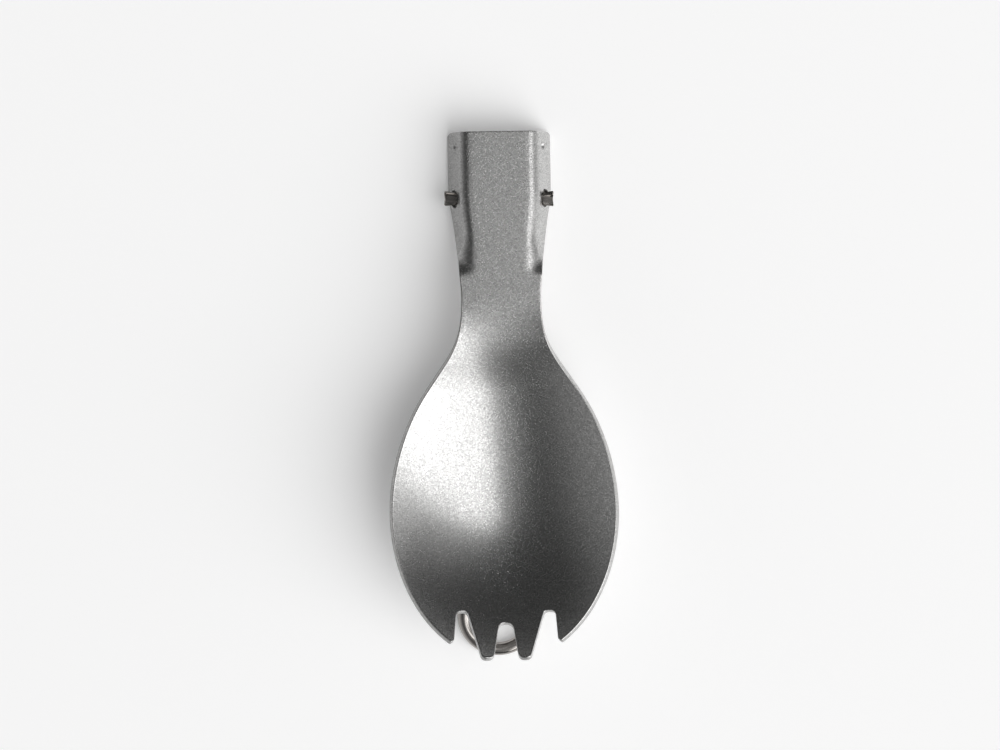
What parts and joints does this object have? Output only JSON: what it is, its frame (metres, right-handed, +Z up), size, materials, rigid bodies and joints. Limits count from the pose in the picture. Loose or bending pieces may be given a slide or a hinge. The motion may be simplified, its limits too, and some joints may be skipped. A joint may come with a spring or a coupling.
{
  "type": "folding spork",
  "caption": "Folding titanium spork: pressed spoon bowl with tines and a channel, and a bent wire loop handle hinged in the channel, folded under the bowl.",
  "frame": {"origin": "on the table, under the middle of the folded spork as it rests on the channel's lower corners and the loop's end", "axes": "+Z up from the table, the tines toward -Y, the channel's free end toward +Y, X across the bowl and along the hinge axis"},
  "size_m": [0.0406, 0.0944, 0.0194],
  "materials": {
    "blasted_titanium": "matt grey titanium sheet, fine bead blasted",
    "drawn_titanium_wire": "bright drawn titanium wire, smooth and glossy"
  },
  "bodies": {
    "head": {"spork_head": "blasted_titanium"},
    "handle": {"wire_handle": "drawn_titanium_wire"}
  },
  "joints": [
    {"name": "handle_hinge", "type": "hinge", "parent": "head", "child": "handle", "pos_m": [0, 0.03511, 0.00423], "axis": [1, 0, 0], "range_deg": [0, 173]}
  ]
}
